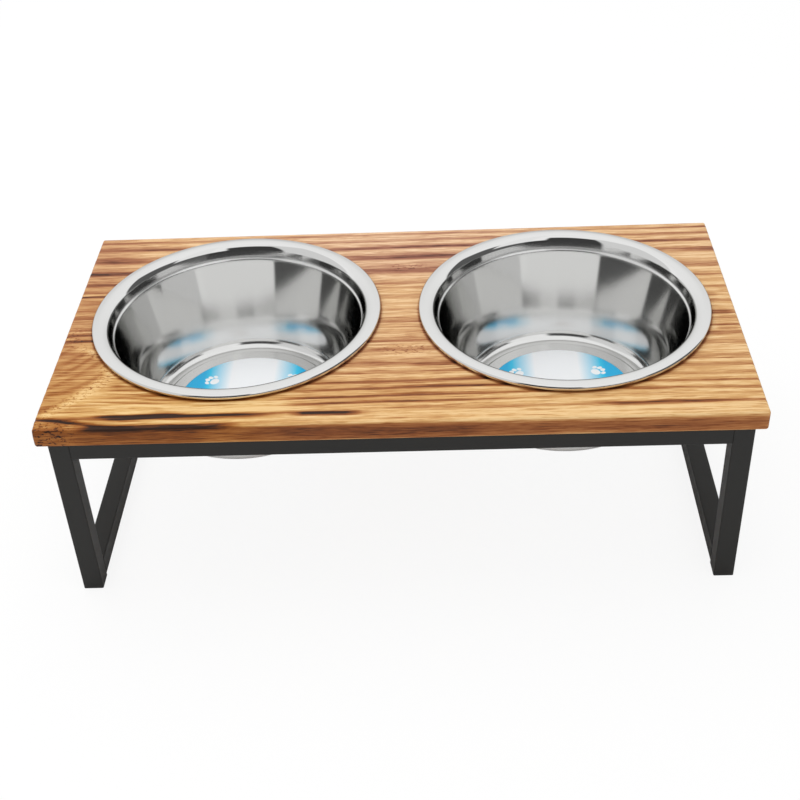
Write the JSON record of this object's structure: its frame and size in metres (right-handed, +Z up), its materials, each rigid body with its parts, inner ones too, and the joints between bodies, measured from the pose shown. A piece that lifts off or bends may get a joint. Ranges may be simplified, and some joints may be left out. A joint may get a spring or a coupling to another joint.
{
  "type": "elevated pet feeder",
  "caption": "Elevated pet feeder: a burnt-grain plank top on a welded square-tube stand, with round steel bowls that hang in cut-outs by their rims and lift out.",
  "frame": {"origin": "on the floor, under the middle of the board", "axes": "+X along the board to the right bowl, +Y from the front to the back, +Z up"},
  "size_m": [0.61, 0.314, 0.1962],
  "materials": {
    "burnt_pine": "burnt and brushed grain, satin oil",
    "powder_coat": "satin charcoal powder coat",
    "cap_plastic": "matte black",
    "zinc_steel": "bright zinc plate",
    "stainless": "polished stainless steel",
    "label_paper": "gloss laminated print"
  },
  "bodies": {
    "stand": {"top_board": "burnt_pine", "front_top_rail": "powder_coat", "rear_top_rail": "powder_coat", "left_top_rail": "powder_coat", "right_top_rail": "powder_coat", "front_left_leg": "powder_coat", "front_right_leg": "powder_coat", "rear_left_leg": "powder_coat", "rear_right_leg": "powder_coat", "left_floor_runner": "powder_coat", "right_floor_runner": "powder_coat", "front_left_foot_cap": "cap_plastic", "front_right_foot_cap": "cap_plastic", "rear_left_foot_cap": "cap_plastic", "rear_right_foot_cap": "cap_plastic", "front_board_screws": "zinc_steel", "rear_board_screws": "zinc_steel"},
    "left_bowl": {"left_bowl": "stainless", "left_bowl_label": "label_paper"},
    "right_bowl": {"right_bowl": "stainless", "right_bowl_label": "label_paper"}
  },
  "joints": [
    {"name": "left_bowl_lift", "type": "slide", "parent": "stand", "child": "left_bowl", "axis": [0, 0, 1], "range_m": [0, 0.12]},
    {"name": "right_bowl_lift", "type": "slide", "parent": "stand", "child": "right_bowl", "axis": [0, 0, 1], "range_m": [0, 0.12]}
  ]
}
